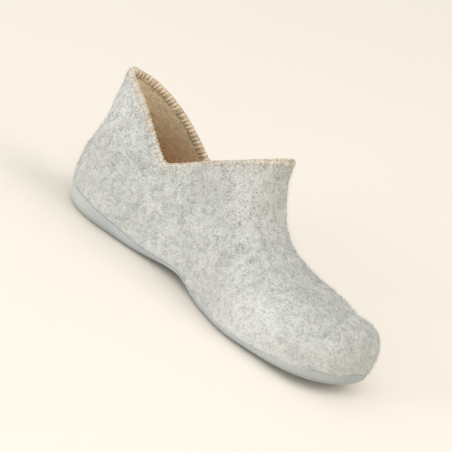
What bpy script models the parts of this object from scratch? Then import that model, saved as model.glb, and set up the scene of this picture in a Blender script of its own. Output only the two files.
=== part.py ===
"""Felt slipper for the left foot: a felt upper moulded in one piece, a cupped sole and an insole.

Metres. +X points to the toe, +Y to the outer side of the foot and +Z up; the floor is z = 0.
Every table holds its lengths as shares of the sizes that are named first.
"""
import bpy
import numpy as np

# Lengths and heights of the felt
LENGTH = 0.258
FRONT_HEIGHT = 0.1055
HEEL_HEIGHT = 0.0958
NOTCH_HEIGHT = 0.0595
TOE_HEIGHT = 0.0480
NOTCH_FROM_HEEL = 0.0700
NOTCH_ROUND = 0.0090
HEEL_EDGE_BOW = 0.0075
FRONT_EDGE_BOW = 0.0029
COLLAR_FLARE = 0.0015
FLARE_FROM = 0.0900
FLARE_POWER = 1.5
HEEL_CURVE = 0.0040

# Widths of the felt
HEEL_WIDTH = 0.0630
WAIST_WIDTH = 0.0594
BALL_WIDTH = 0.0944
TOE_WIDTH = 0.0705
ANKLE_WIDTH = 0.0390
TOE_SHIFT = 0.0029

# Distances over which the plan of the felt closes at its ends, and how full those curves are
HEEL_ROUND = 0.0410
HEEL_TAB_ROUND = 0.0730
TOE_ROUND_INNER = 0.0350
TOE_ROUND_OUTER = 0.0660
SHAFT_ROUND = 0.0280
FRONT_POWER = 2.28
BACK_POWER = 2.10
ANKLE_EASE = 1.2

# Heights at which the foot's width, the heel's round and the toe's round turn into those of the collar
ANKLE_FROM = 0.0350
TAB_FROM = 0.0410
SHAFT_TO = 0.0980

# Felt wall, and how far it tucks in above the sole
WALL = 0.0038
TUCK = 0.0030
TUCK_HEIGHT = 0.0120

# Sole and insole
SOLE_WALL = 0.0127
TOE_SPRING = 0.0086
HEEL_ROLL = 0.0020
ARCH = 0.0045
CUP_DEPTH = 0.0025
CUP_STEP = 0.0012
FLANGE = 0.0010
TREAD_ROUND = 0.0067
INSOLE_THICKNESS = 0.0030
INSOLE_ROUND = 0.0008
GAP = 0.0003

# Colours and roughness
FELT = (0.55, 0.55, 0.52), 0.95
RUBBER = (0.56, 0.58, 0.54), 0.60
TEXTILE = (0.50, 0.40, 0.28), 0.95

# Fineness of the meshes
SIDE_COLUMNS = 44
FELT_ROWS = 21
RIB_SAMPLES = 500
VAMP_SAMPLES = 70
LEAST = 1e-6
OUT_OF_REACH = 1.0
COLLAR_ARC = 4
COLLAR_PASSES = 60
COLLAR_SHARE = 0.4
SHARP_ANGLE = 50


def table(names, *rows):
    """Columns of a small table, each under its own name."""
    return {name: np.array(column, float) for name, column in zip(names.split(), zip(*rows))}


RISE = FRONT_HEIGHT - TOE_HEIGHT
CUP_INSET = WALL + CUP_STEP
CUP_DRAFT = CUP_STEP / 3

VAMP = table(
    "at height",
    (0.549, FRONT_HEIGHT),
    (0.551, TOE_HEIGHT + 0.82 * RISE),
    (0.565, TOE_HEIGHT + 0.57 * RISE),
    (0.640, TOE_HEIGHT + 0.13 * RISE),
    (0.740, 1.03 * TOE_HEIGHT),
    (0.850, 1.02 * TOE_HEIGHT),
    (0.930, 0.99 * TOE_HEIGHT),
    (0.970, 0.91 * TOE_HEIGHT),
    (0.993, 0.72 * TOE_HEIGHT),
    (1.000, 0.37 * TOE_HEIGHT),
)

BACK = table(
    "height inset",
    (0.00 * HEEL_HEIGHT, 1.2 * HEEL_CURVE),
    (0.14 * HEEL_HEIGHT, 0.4 * HEEL_CURVE),
    (0.35 * HEEL_HEIGHT, 0.0 * HEEL_CURVE),
    (0.64 * HEEL_HEIGHT, 1.0 * HEEL_CURVE),
    (1.00 * HEEL_HEIGHT, 0.6 * HEEL_CURVE),
    (1.60 * HEEL_HEIGHT, 0.0 * HEEL_CURVE),
)

INNER_SIDE = table(
    "at half",
    (0.00, 0.50 * HEEL_WIDTH),
    (0.14, 0.50 * HEEL_WIDTH),
    (0.41, 0.40 * WAIST_WIDTH),
    (0.70, 0.47 * BALL_WIDTH),
    (0.84, 0.45 * BALL_WIDTH),
    (1.00, 0.53 * TOE_WIDTH),
)

OUTER_SIDE = table(
    "at half",
    (0.00, 0.50 * HEEL_WIDTH),
    (0.14, 0.50 * HEEL_WIDTH),
    (0.40, 0.60 * WAIST_WIDTH),
    (0.63, 0.53 * BALL_WIDTH),
    (0.80, 0.50 * BALL_WIDTH),
    (1.00, 0.47 * TOE_WIDTH),
)

CENTRE = table(
    "at shift",
    (0.00, 0.00 * TOE_SHIFT),
    (0.35, 0.00 * TOE_SHIFT),
    (0.70, -0.16 * TOE_SHIFT),
    (1.00, -1.00 * TOE_SHIFT),
)

TREAD = table(
    "at height",
    (0.00, HEEL_ROLL),
    (0.08, 0.0),
    (0.28, 0.0),
    (0.44, ARCH),
    (0.56, 0.0),
    (0.66, 0.0),
    (0.78, 0.15 * TOE_SPRING),
    (1.00, TOE_SPRING),
)

SOLE_EDGE = table(
    "at height",
    (0.00, 1.02 * SOLE_WALL),
    (0.12, 1.04 * SOLE_WALL),
    (0.42, 0.40 * SOLE_WALL),
    (0.68, 0.50 * SOLE_WALL),
    (0.88, 0.76 * SOLE_WALL),
    (1.00, 1.00 * SOLE_WALL),
)

SOLE_SIDE = table(
    "drop inset",
    (0.00, 0.00),
    (0.05, -0.07),
    (0.25, -0.17),
    (0.50, -0.13),
    (0.70, 0.08),
    (0.85, 0.36),
    (0.95, 0.70),
    (1.00, 1.00),
)


def smooth(at, value, where):
    """Cubic through the rows of a table that never overshoots them."""
    step = np.diff(at)
    slope = np.diff(value) / step
    before, after = 2 * step[1:] + step[:-1], step[1:] + 2 * step[:-1]
    turns = slope[:-1] * slope[1:] <= 0
    left = np.where(turns, 1.0, slope[:-1])
    right = np.where(turns, 1.0, slope[1:])
    inner = np.where(turns, 0.0, (before + after) / (before / left + after / right))
    tangent = np.concatenate([slope[:1], inner, slope[-1:]])
    i = np.clip(np.searchsorted(at, where, side="right") - 1, 0, len(step) - 1)
    t = np.clip((where - at[i]) / step[i], 0, 1)
    from_start = (2 * t + 1) * (1 - t) ** 2 * value[i] + t * (1 - t) ** 2 * step[i] * tangent[i]
    from_end = t**2 * (3 - 2 * t) * value[i + 1] - t**2 * (1 - t) * step[i] * tangent[i + 1]
    return from_start + from_end


def rounded(share, power):
    """Quarter of a superellipse: 0 at share 0, 1 from share 1 on."""
    return (1 - (1 - np.clip(share, 0, 1)) ** power) ** (1 / power)


def between(value, low, high):
    """Share of the way from low to high, kept from 0 to 1."""
    return np.clip((value - low) / (high - low), 0, 1)


def eased(value, low, high):
    """The same share, leaving 0 and reaching 1 gently."""
    share = between(value, low, high)
    return share**2 * (3 - 2 * share)


# The columns of every mesh run from the heel along the inner side to the toe and back outside.
COLUMNS = 2 * SIDE_COLUMNS
TURN = np.arange(COLUMNS) / SIDE_COLUMNS
REACH = (1 - np.cos(np.pi * TURN)) / 2
SIDE = np.sign(TURN - 1) * (TURN > 0)


def vamp_line():
    """Middle of the vamp from the collar's peak to the toe, as places and heights."""
    x = LENGTH * VAMP["at"]
    run = np.concatenate([[0.0], np.cumsum(np.hypot(np.diff(x), np.diff(VAMP["height"])))])
    close = np.linspace(0, run[-1], VAMP_SAMPLES)
    return smooth(run, x, close), smooth(run, VAMP["height"], close)


VAMP_X, VAMP_Z = vamp_line()


def front(height):
    """Where the middle of the vamp stands at a height."""
    return np.interp(height, VAMP_Z[::-1], VAMP_X[::-1])


def top(x):
    """Height of the vamp over a place; out of reach behind the collar's peak."""
    return np.where(x < VAMP_X[0], OUT_OF_REACH, np.interp(x, VAMP_X, VAMP_Z))


def pull(along, off):
    """Sum of 1 / distance**4 along a straight line, up to the foot of a point off that line."""
    return along / (2 * off**2 * (off**2 + along**2)) + np.arctan(along / off) / (2 * off**3)


def vamp_distance(x, height):
    """Distance to the vamp line, rounded off where that line bends.

    It is the distance to a straight line that would give the same sum of 1 / distance**4.
    """
    ends_x = np.concatenate([[VAMP_X[0]], VAMP_X, [VAMP_X[-1]]])
    ends_z = np.concatenate([[VAMP_Z[0] + FRONT_HEIGHT], VAMP_Z, [VAMP_Z[-1] - TOE_HEIGHT]])
    total = 0.0
    for i in range(len(ends_x) - 1):
        step_x, step_z = ends_x[i + 1] - ends_x[i], ends_z[i + 1] - ends_z[i]
        size = np.hypot(step_x, step_z)
        along = ((x - ends_x[i]) * step_x + (height - ends_z[i]) * step_z) / size
        off = np.abs((x - ends_x[i]) * step_z - (height - ends_z[i]) * step_x) / size + LEAST
        total = total + pull(along, off) - pull(along - size, off)
    return (np.pi / 2 / total) ** (1 / 3)


def back(height):
    """Where the middle of the heel stands at a height."""
    return smooth(BACK["height"], BACK["inset"], height)


def half_width(x, height):
    """Width from the centre line to the felt's outer face, on the side of each column."""
    inner = smooth(INNER_SIDE["at"], INNER_SIDE["half"], x / LENGTH)
    outer = smooth(OUTER_SIDE["at"], OUTER_SIDE["half"], x / LENGTH)
    foot = np.where(SIDE < 0, inner, outer)
    ankle = between(height, ANKLE_FROM, FRONT_HEIGHT) ** ANKLE_EASE
    foot = foot + (ANKLE_WIDTH / 2 - foot) * ankle
    inside = (top(x) - height > LEAST) & (front(height) - x > LEAST)
    to_vamp = np.where(inside, vamp_distance(x, height), 0.0)
    toe = np.where(SIDE < 0, TOE_ROUND_INNER, TOE_ROUND_OUTER)
    shaft = eased(height, TOE_HEIGHT, SHAFT_TO)
    tab = eased(height, TAB_FROM, HEEL_HEIGHT)
    ahead_round = toe + (SHAFT_ROUND - toe) * shaft
    behind_round = HEEL_ROUND + (HEEL_TAB_ROUND - HEEL_ROUND) * tab
    closing = rounded(to_vamp / ahead_round, FRONT_POWER)
    return foot * closing * rounded((x - back(height)) / behind_round, BACK_POWER)


def outline(height):
    """Plan of the felt's outer face at the height of each column."""
    start = back(height)
    x = start + (front(height) - start) * REACH
    y = SIDE * half_width(x, height) + smooth(CENTRE["at"], CENTRE["shift"], x / LENGTH)
    lean = between(height, FLARE_FROM, FRONT_HEIGHT) ** FLARE_POWER
    return x + COLLAR_FLARE * lean * REACH**2, y


def inset(x, y, amount):
    """A plan moved inwards, square to itself."""
    along_x = np.roll(x, -1, axis=-1) - np.roll(x, 1, axis=-1)
    along_y = np.roll(y, -1, axis=-1) - np.roll(y, 1, axis=-1)
    size = np.hypot(along_x, along_y)
    return x - amount * along_y / size, y + amount * along_x / size


def collar_height(x):
    """Side view of the collar: it falls from the heel tab to a rounded notch and rises to the front."""
    to_heel = (NOTCH_FROM_HEEL - x) / (NOTCH_FROM_HEEL - HEEL_CURVE)
    to_front = (x - NOTCH_FROM_HEEL) / (VAMP["at"][0] * LENGTH - NOTCH_FROM_HEEL)
    bow_back = 4 * HEEL_EDGE_BOW * np.clip(to_heel, 0, 1) * (1 - np.clip(to_heel, 0, 1))
    bow_front = 4 * FRONT_EDGE_BOW * np.clip(to_front, 0, 1) * (1 - np.clip(to_front, 0, 1))
    heel_edge = NOTCH_HEIGHT + (HEEL_HEIGHT - NOTCH_HEIGHT) * to_heel + bow_back
    front_edge = NOTCH_HEIGHT + (FRONT_HEIGHT - NOTCH_HEIGHT) * to_front + bow_front
    return (heel_edge + front_edge + np.hypot(heel_edge - front_edge, NOTCH_ROUND)) / 2


def sole_rim(x):
    """Height of the line where the felt meets the sole."""
    share = x / LENGTH
    return smooth(TREAD["at"], TREAD["height"], share) + smooth(SOLE_EDGE["at"], SOLE_EDGE["height"], share)


def evenly(ribs, rows, short):
    """Ribs cut into equal steps, up to a length short of their upper ends."""
    step = np.linalg.norm(np.diff(ribs, axis=0), axis=2)
    run = np.vstack([np.zeros(ribs.shape[1]), np.cumsum(step, axis=0)])
    target = np.linspace(0, 1, rows)[:, None] * (run[-1] - short)
    below = np.clip((run[None] <= target[:, None]).sum(axis=1) - 1, 0, len(run) - 2)
    start = np.take_along_axis(run, below, axis=0)
    end = np.take_along_axis(run, below + 1, axis=0)
    share = ((target - start) / (end - start))[..., None]
    column = np.arange(ribs.shape[1])
    return ribs[below, column] * (1 - share) + ribs[below + 1, column] * share


def felt_outside():
    """Rows of the felt's outer face, from the sole's rim up to the collar."""
    rim = np.full(COLUMNS, SOLE_WALL)
    collar = np.full(COLUMNS, NOTCH_HEIGHT)
    for _ in range(COLLAR_PASSES):
        rim = sole_rim(outline(rim)[0])
        wanted = np.clip(collar_height(outline(collar)[0]), rim, FRONT_HEIGHT)
        collar = collar + COLLAR_SHARE * (wanted - collar)
    share = np.linspace(0, 1, RIB_SAMPLES)[:, None]
    height = rim + (collar - rim) * share
    x, y = outline(height)
    tuck = TUCK * (1 - between(height - rim, 0, TUCK_HEIGHT)) ** 2
    x, y = inset(x, y, tuck)
    return evenly(np.stack([x, y, height], axis=2), FELT_ROWS, WALL / 2)


def outward(rows):
    """Unit normals of the felt's outer face; level in its lowest row, where the sole meets it."""
    around = np.roll(rows, -1, axis=1) - np.roll(rows, 1, axis=1)
    normal = np.cross(around, np.gradient(rows, axis=0))
    normal[0, :, 2] = 0
    return normal / np.linalg.norm(normal, axis=2, keepdims=True)


def felt_rows(outside):
    """Rows round the whole wall: up the outer face, over the collar's rounded edge and down inside."""
    normal = outward(outside)
    inside = outside - WALL * normal
    upward = outside[-1] - outside[-2]
    upward /= np.linalg.norm(upward, axis=1, keepdims=True)
    middle = (outside[-1] + inside[-1]) / 2
    edge = []
    for i in range(1, COLLAR_ARC):
        angle = np.pi * i / COLLAR_ARC
        edge.append(middle + WALL / 2 * (np.cos(angle) * normal[-1] + np.sin(angle) * upward))
    return np.concatenate([outside, np.array(edge), inside[::-1]])


def level_row(x, y, height):
    """One row of points from a plan and its heights."""
    return np.stack([x, y, height + 0 * x], axis=1)


def sole_rows(seat):
    """Rows of the sole: out of its cup, over the rim under the felt, down its side to the tread."""
    x, y, seam = seat[:, 0], seat[:, 1], seat[:, 2]
    rim = seam - GAP
    rows = [level_row(*inset(x, y, CUP_INSET + CUP_DRAFT), rim - CUP_DEPTH)]
    rows.append(level_row(*inset(x, y, CUP_INSET), rim))
    outer_x, outer_y = inset(x, y, -FLANGE)
    tread = smooth(TREAD["at"], TREAD["height"], outer_x / LENGTH)
    for drop, share in zip(SOLE_SIDE["drop"], SOLE_SIDE["inset"]):
        side_x, side_y = inset(outer_x, outer_y, share * TREAD_ROUND)
        rows.append(level_row(side_x, side_y, rim + (tread - rim) * drop))
    return np.array(rows)


def insole_rows(seat):
    """Rows of the insole, from the edge of its underside over its rounded top edge."""
    x, y, seam = seat[:, 0], seat[:, 1], seat[:, 2]
    low = seam - CUP_DEPTH
    high = low + INSOLE_THICKNESS
    edge = inset(x, y, CUP_INSET + CUP_DRAFT + GAP)
    shoulder = inset(x, y, CUP_INSET + CUP_DRAFT + GAP + INSOLE_ROUND)
    rows = [level_row(*edge, low), level_row(*edge, high - INSOLE_ROUND), level_row(*shoulder, high)]
    return np.array(rows)


def wall_faces(count, closed):
    """Quads between rows; closed joins the last row to the first."""
    row = np.arange(count if closed else count - 1)[:, None] * COLUMNS
    above = (row + COLUMNS) % (count * COLUMNS)
    column = np.arange(COLUMNS)
    following = (column + 1) % COLUMNS
    quads = np.stack([row + column, row + following, above + following, above + column], axis=2)
    return quads.reshape(-1, 4).tolist()


def cap_faces(first, upward):
    """A cap over one row, laid across from the inner side to the outer side."""
    faces = []
    for i in range(SIDE_COLUMNS):
        ring = [i, i + 1, COLUMNS - i - 1, (COLUMNS - i) % COLUMNS]
        corners = [first + corner for corner in dict.fromkeys(ring)]
        faces.append(corners if upward else corners[::-1])
    return faces


def material(name, colour, roughness):
    """Matte finish of one piece."""
    made = bpy.data.materials.new(name)
    made.use_nodes = True
    shader = made.node_tree.nodes["Principled BSDF"]
    shader.inputs["Base Color"].default_value = (*colour, 1.0)
    shader.inputs["Roughness"].default_value = roughness
    shader.inputs["Metallic"].default_value = 0.0
    return made


def piece(name, rows, faces, finish):
    """One solid of the slipper as an object of its own."""
    mesh = bpy.data.meshes.new(name)
    mesh.from_pydata(rows.reshape(-1, 3).tolist(), [], faces)
    mesh.validate()
    mesh.shade_smooth()
    mesh.set_sharp_from_angle(angle=np.radians(SHARP_ANGLE))
    mesh.materials.append(finish)
    made = bpy.data.objects.new(name, mesh)
    bpy.context.scene.collection.objects.link(made)
    return made


def main():
    for old in list(bpy.data.objects):
        bpy.data.objects.remove(old)
    outside = felt_outside()
    seat = outside[0]
    upper = felt_rows(outside)
    sole = sole_rows(seat)
    insole = insole_rows(seat)

    # The slipper stands centred on the origin.
    corners = np.concatenate([upper.reshape(-1, 3), sole.reshape(-1, 3)])
    middle = (corners.min(axis=0) + corners.max(axis=0)) / 2
    centring = np.array([middle[0], middle[1], 0.0])

    sole_side = [quad[::-1] for quad in wall_faces(len(sole), False)]
    sole_caps = cap_faces(0, True) + cap_faces((len(sole) - 1) * COLUMNS, False)
    insole_side = wall_faces(len(insole), False)
    insole_caps = cap_faces(0, False) + cap_faces((len(insole) - 1) * COLUMNS, True)
    piece("upper", upper - centring, wall_faces(len(upper), True), material("felt", *FELT))
    piece("outsole", sole - centring, sole_side + sole_caps, material("rubber", *RUBBER))
    piece("insole", insole - centring, insole_side + insole_caps, material("textile", *TEXTILE))


main()
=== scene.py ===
"""Looks of the felt ankle slipper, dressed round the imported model.

Metres, in the frame of the model: +X points to the toe, +Y to the outer side of this left slipper and
+Z up; the floor is z = 0. Felt, fleece, sole and insole come from the same sizes and formulas as the
solids, on finer grids. A grid has rows that run up a wall and columns that run round the foot.
"""

import bpy
import numpy as np
from mathutils import Matrix, Vector


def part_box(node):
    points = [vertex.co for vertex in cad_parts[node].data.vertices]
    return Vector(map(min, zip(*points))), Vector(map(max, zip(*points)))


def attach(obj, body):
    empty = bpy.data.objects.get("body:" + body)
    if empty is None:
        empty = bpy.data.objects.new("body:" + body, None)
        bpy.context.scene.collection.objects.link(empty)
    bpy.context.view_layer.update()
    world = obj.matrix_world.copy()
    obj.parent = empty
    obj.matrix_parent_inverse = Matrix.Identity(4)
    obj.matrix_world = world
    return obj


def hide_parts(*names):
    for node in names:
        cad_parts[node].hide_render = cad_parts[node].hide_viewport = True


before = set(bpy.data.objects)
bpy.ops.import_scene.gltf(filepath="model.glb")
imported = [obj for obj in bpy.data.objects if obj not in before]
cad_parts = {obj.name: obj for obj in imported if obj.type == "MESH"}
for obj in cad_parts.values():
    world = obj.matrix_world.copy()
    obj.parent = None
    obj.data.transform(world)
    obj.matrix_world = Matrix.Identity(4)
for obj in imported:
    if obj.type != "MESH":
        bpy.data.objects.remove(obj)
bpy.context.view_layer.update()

# Lengths and heights of the felt
LENGTH = 0.258
FRONT_HEIGHT = 0.1055
HEEL_HEIGHT = 0.0958
NOTCH_HEIGHT = 0.0595
TOE_HEIGHT = 0.0480
NOTCH_FROM_HEEL = 0.0700
NOTCH_ROUND = 0.0090
HEEL_EDGE_BOW = 0.0075
FRONT_EDGE_BOW = 0.0029
COLLAR_FLARE = 0.0015
FLARE_FROM = 0.0900
FLARE_POWER = 1.5
HEEL_CURVE = 0.0040

# Widths of the felt
HEEL_WIDTH = 0.0630
WAIST_WIDTH = 0.0594
BALL_WIDTH = 0.0944
TOE_WIDTH = 0.0705
ANKLE_WIDTH = 0.0390
TOE_SHIFT = 0.0029

# Distances over which the plan of the felt closes at its ends, and how full those curves are
HEEL_ROUND = 0.0410
HEEL_TAB_ROUND = 0.0730
TOE_ROUND_INNER = 0.0350
TOE_ROUND_OUTER = 0.0660
SHAFT_ROUND = 0.0280
FRONT_POWER = 2.28
BACK_POWER = 2.10
ANKLE_EASE = 1.2

# Heights at which the foot's width, the heel's round and the toe's round turn into those of the collar
ANKLE_FROM = 0.0350
TAB_FROM = 0.0410
SHAFT_TO = 0.0980

# Walls: felt outside and fleece inside, the felt's tuck above the sole, its lip over the rubber, the dip
# behind its toe, the fleece's swell over the insole, and shares of the height where relief fades
WALL = 0.0038
FELT = 0.0023
TUCK = 0.0030
TUCK_HEIGHT = 0.0120
LIP_HEIGHT = 0.0013
LIP_REACH = 0.0013
DROOP_TO = 0.0120
DIP_PLACE = 0.2265
DIP_SLANT = 0.20
DIP_DEPTH = 0.0030
DIP_BEHIND = 0.0150
DIP_AHEAD = 0.0050
DIP_FROM = 0.0280
DIP_TO = 0.0440
LIP_TOE_FROM = 0.75
LIP_TOE_TO = 0.97
LIP_TOE_MORE = 0.4
FLEECE_FOOT = 0.0018
FLEECE_FOOT_HEIGHT = 0.0070
FLEECE_SHORT = 0.01125
FLEECE_CALM = 0.05
CALM_FROM = 0.86
CALM_TO = 0.97
CALM_FOOT = 0.02

# Sole and insole
SOLE_WALL = 0.0127
TOE_SPRING = 0.0086
HEEL_ROLL = 0.0020
ARCH = 0.0045
CUP_DEPTH = 0.0025
CUP_STEP = 0.0012
FLANGE = 0.0010
FLANGE_ROUND = 0.0004
TREAD_ROUND = 0.0067
TREAD_GROOVE = 0.0007
TREAD_PITCH = 0.0085
TREAD_MARGIN = 0.0070
TREAD_SWAY = 0.0025
TREAD_SWAY_PITCH = 0.0220
INSOLE_THICKNESS = 0.0030
INSOLE_ROUND = 0.0008
GAP = 0.0003

# Fineness of the meshes, and settings of how the felt's grid is laid
COLUMNS = 480
FORM_COLUMNS = 120
FORM_ROWS = 44
FELT_ROWS = 124
ROW_CROWDING = 1.2
FLEECE_ROWS = 84
BACK_ROWS = 20
RIB_SAMPLES = 420
VAMP_SAMPLES = 150
COLLAR_ARC = 8
NEAR_MIDDLE = 0.985
CUP_ROWS = 16
TREAD_ROWS = 40
SIDE_DROPS = np.concatenate([np.linspace(0.07, 0.80, 16), np.linspace(0.83, 1.0, 10)])
INSOLE_ROWS = 30
INSOLE_BACK_ROWS = 6
COLLAR_PASSES = 60
COLLAR_SHARE = 0.4
HOOK_DEPTH = 0.060
HOOK_POWER = 4
HOOK_ENDS = 0.15
VAMP_SIDE = 0.55
BEND_SPAN = 0.010
LEAST = 1e-6
TOUCHING = 1e-9
OUT_OF_REACH = 1.0
CREASE_POINTS = 9
RIDGE_HEIGHT = 0.55
RIDGE_REACH = 2.2

# Ripples that make a surface uneven, each with its height, wavelength and seed
LIP_RIPPLES = ((0.00080, 0.0160, 9),)
FELT_LUMPS = ((0.00042, 0.0340, 3), (0.00022, 0.0130, 4), (0.00010, 0.0055, 5))
FELT_GRAIN = ((0.00012, 0.0060, 6),)
FLEECE_TUFTS = ((0.00016, 0.0075, 11), (0.00010, 0.0042, 12))
INSOLE_PILE = ((0.00016, 0.0060, 21),)


def curve(*rows, scale=(1, 1)):
    """Smooth curve through rows of a place and its value, as a function of the place."""
    at, value = (np.array(rows) * scale).T
    return lambda where: smooth(at, value, where)


RISE = FRONT_HEIGHT - TOE_HEIGHT
CUP_INSET = WALL + CUP_STEP
CUP_DRAFT = CUP_STEP / 3

# Places are shares of the length, apart from the heights of BACK and, in SOLE_SIDE, the shares of the way
# from the sole's rim down to its tread
DROOP = curve(
    (0.00, 0.0016),
    (0.30, 0.0018),
    (0.60, 0.0026),
    (0.90, 0.0032),
    (1.00, 0.0034),
)

VAMP = np.array(
    (
        (0.549, FRONT_HEIGHT),
        (0.551, TOE_HEIGHT + 0.82 * RISE),
        (0.565, TOE_HEIGHT + 0.57 * RISE),
        (0.640, TOE_HEIGHT + 0.13 * RISE),
        (0.740, 1.03 * TOE_HEIGHT),
        (0.850, 1.02 * TOE_HEIGHT),
        (0.930, 0.99 * TOE_HEIGHT),
        (0.970, 0.91 * TOE_HEIGHT),
        (0.993, 0.72 * TOE_HEIGHT),
        (1.000, 0.37 * TOE_HEIGHT),
    )
)

BACK = curve(
    (0.00, 1.2),
    (0.14, 0.4),
    (0.35, 0.0),
    (0.64, 1.0),
    (1.00, 0.6),
    (1.60, 0.0),
    scale=(HEEL_HEIGHT, HEEL_CURVE),
)

INNER_SIDE = curve(
    (0.00, 0.50 * HEEL_WIDTH),
    (0.14, 0.50 * HEEL_WIDTH),
    (0.41, 0.40 * WAIST_WIDTH),
    (0.70, 0.47 * BALL_WIDTH),
    (0.84, 0.45 * BALL_WIDTH),
    (1.00, 0.53 * TOE_WIDTH),
)

OUTER_SIDE = curve(
    (0.00, 0.50 * HEEL_WIDTH),
    (0.14, 0.50 * HEEL_WIDTH),
    (0.40, 0.60 * WAIST_WIDTH),
    (0.63, 0.53 * BALL_WIDTH),
    (0.80, 0.50 * BALL_WIDTH),
    (1.00, 0.47 * TOE_WIDTH),
)

CENTRE = curve(
    (0.00, 0.00),
    (0.35, 0.00),
    (0.70, -0.16),
    (1.00, -1.00),
    scale=(1, TOE_SHIFT),
)

TREAD = curve(
    (0.00, HEEL_ROLL),
    (0.08, 0.0),
    (0.28, 0.0),
    (0.44, ARCH),
    (0.56, 0.0),
    (0.66, 0.0),
    (0.78, 0.15 * TOE_SPRING),
    (1.00, TOE_SPRING),
)

SOLE_EDGE = curve(
    (0.00, 1.02),
    (0.12, 1.04),
    (0.42, 0.40),
    (0.68, 0.50),
    (0.88, 0.76),
    (1.00, 1.00),
    scale=(1, SOLE_WALL),
)

SOLE_SIDE = curve(
    (0.00, 0.00),
    (0.05, -0.07),
    (0.25, -0.17),
    (0.50, -0.13),
    (0.70, 0.08),
    (0.85, 0.36),
    (0.95, 0.70),
    (1.00, 1.00),
)

# Soft troughs in the felt. A place is its turn round the foot, 0 at the heel, 1 at the toe by
# way of the inner side and 2 at the heel again, and its rise from the sole's rim, 0, to the collar, 1.
# A row holds the start's turn and rise, the end's, and bow, width and depth in thousandths of the length.
CREASES = (
    (0.953, 0.30, 1.030, 0.14, 0.8, 5.5, 6.5),
    (0.875, 0.29, 0.863, 0.24, 0.4, 5.0, 4.0),
    (1.060, 0.38, 0.900, 0.32, 1.5, 9.0, 3.5),
    (0.783, 0.20, 0.798, 0.15, 0.8, 6.0, 3.4),
    (0.717, 0.09, 0.727, 0.05, 0.5, 5.0, 3.0),
    (1.120, 0.56, 0.870, 0.52, 3.0, 22.0, 3.4),
    (0.800, 0.66, 0.990, 0.72, 5.0, 24.0, 3.6),
    (0.640, 0.02, 0.655, 0.10, 1.0, 7.0, 1.6),
    (1.120, 0.08, 1.090, 0.22, 2.0, 9.0, 1.8),
    (1.260, 0.62, 1.060, 0.70, 6.0, 24.0, 3.2),
    (0.180, 0.30, 0.220, 0.55, 3.0, 22.0, 2.4),
    (1.780, 0.34, 1.740, 0.60, 3.0, 22.0, 2.4),
)


def smooth(at, value, where):
    """Cubic through the rows of a table that never overshoots them."""
    step = np.diff(at)
    slope = np.diff(value) / step
    before, after = 2 * step[1:] + step[:-1], step[1:] + 2 * step[:-1]
    turns = slope[:-1] * slope[1:] <= 0
    left = np.where(turns, 1.0, slope[:-1])
    right = np.where(turns, 1.0, slope[1:])
    inner = np.where(turns, 0.0, (before + after) / (before / left + after / right))
    tangent = np.concatenate([slope[:1], inner, slope[-1:]])
    i = np.clip(np.searchsorted(at, where, side="right") - 1, 0, len(step) - 1)
    t = np.clip((where - at[i]) / step[i], 0, 1)
    from_start = (2 * t + 1) * (1 - t) ** 2 * value[i] + t * (1 - t) ** 2 * step[i] * tangent[i]
    from_end = t**2 * (3 - 2 * t) * value[i + 1] - t**2 * (1 - t) * step[i] * tangent[i + 1]
    return from_start + from_end


def rounded(share, power):
    """Quarter of a superellipse: 0 at share 0, 1 from share 1 on."""
    return (1 - (1 - np.clip(share, 0, 1)) ** power) ** (1 / power)


def between(value, low, high):
    """Share of the way from low to high, kept from 0 to 1."""
    return np.clip((value - low) / (high - low), 0, 1)


def eased(value, low, high):
    """The same share, leaving 0 and reaching 1 gently."""
    share = between(value, low, high)
    return share**2 * (3 - 2 * share)


def unit(vectors):
    """The same directions, one unit long."""
    return vectors / np.linalg.norm(vectors, axis=-1, keepdims=True)


def through(ring, axis=0):
    """Way from the point before each point of a ring to the point after it."""
    return np.roll(ring, -1, axis=axis) - np.roll(ring, 1, axis=axis)


def run_along(points):
    """Way from the start of lines to each of their points; the lines follow the first axis."""
    steps = np.linalg.norm(np.diff(points, axis=0), axis=-1)
    return np.concatenate([np.zeros_like(steps[:1]), np.cumsum(steps, axis=0)])


def on_grid(field, row, column):
    """Values of a grid between its own rows and columns, of which the columns go round in a ring."""
    i, j = np.minimum(row.astype(int), len(field) - 2), column.astype(int)
    u, v = (row - i)[..., None], (column - j)[..., None]
    j, after = j % COLUMNS, (j + 1) % COLUMNS
    low = field[i, j] * (1 - v) + field[i, after] * v
    high = field[i + 1, j] * (1 - v) + field[i + 1, after] * v
    return low * (1 - u) + high * u


TURN = np.arange(FORM_COLUMNS) * 2 / FORM_COLUMNS
REACH = (1 - np.cos(np.pi * TURN)) / 2
HOOK = (1 - REACH) * REACH**HOOK_POWER
SIDE = np.sign(TURN - 1) * (TURN > 0)


def vamp_line():
    """Middle of the vamp from the collar's peak to the toe, as places and heights."""
    line = VAMP * (LENGTH, 1.0)
    run = run_along(line)
    close = np.linspace(0, run[-1], VAMP_SAMPLES)
    return smooth(run, line[:, 0], close), smooth(run, line[:, 1], close)


VAMP_X, VAMP_Z = vamp_line()


def front(height):
    """Where the middle of the vamp stands at a height."""
    return np.interp(height, VAMP_Z[::-1], VAMP_X[::-1])


def top(x):
    """Height of the vamp over a place; out of reach behind the collar's peak."""
    return np.where(x < VAMP_X[0], OUT_OF_REACH, np.interp(x, VAMP_X, VAMP_Z))


def pull(along, off):
    """Sum of 1 / distance**4 along a straight line, up to the foot of a point off that line."""
    return along / (2 * off**2 * (off**2 + along**2)) + np.arctan(along / off) / (2 * off**3)


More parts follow.
